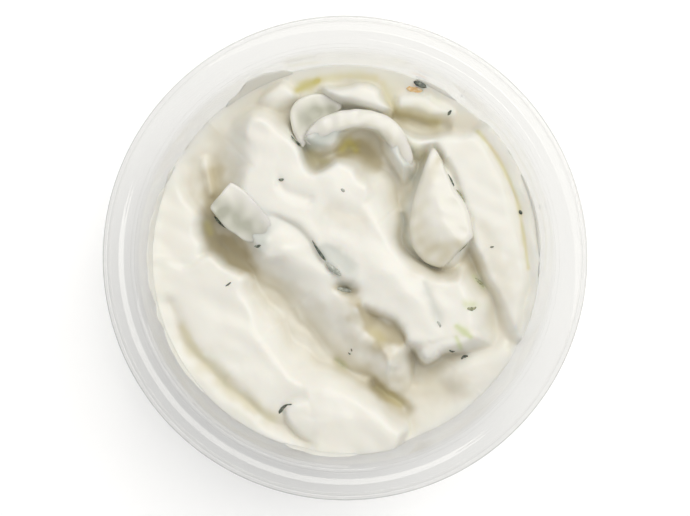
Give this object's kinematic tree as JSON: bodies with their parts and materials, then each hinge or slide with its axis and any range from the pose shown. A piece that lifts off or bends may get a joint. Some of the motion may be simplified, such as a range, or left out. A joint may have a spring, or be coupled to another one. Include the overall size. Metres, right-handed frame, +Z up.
{
  "type": "tzatziki dip",
  "caption": "Thick white yoghurt dip with pieces of cucumber and flecks of herb, left in spoon folds in an open, clear, round tub with a flat flanged rim.",
  "frame": {"origin": "middle of the circle that the tub's foot ring stands on", "axes": "+Z up out of the open tub; +X to the right and +Y away from the viewer who looks down on it as shown"},
  "size_m": [0.095, 0.095, 0.05],
  "materials": {
    "clear_plastic": "clear thermoformed polypropylene, glossy, faintly cloudy",
    "yoghurt_dip": "strained yoghurt, creamy white, moist and softly shiny",
    "cucumber": "wet cucumber flesh, pale grey green and translucent, under a thin coat of dip"
  },
  "bodies": {
    "root": {"tub": "clear_plastic", "dip": "yoghurt_dip", "cucumber_wedge_right": "cucumber", "cucumber_dice_left": "cucumber", "cucumber_chunk_middle": "cucumber", "cucumber_slice_top_outer": "cucumber", "cucumber_slice_top_inner": "cucumber"}
  },
  "joints": []
}
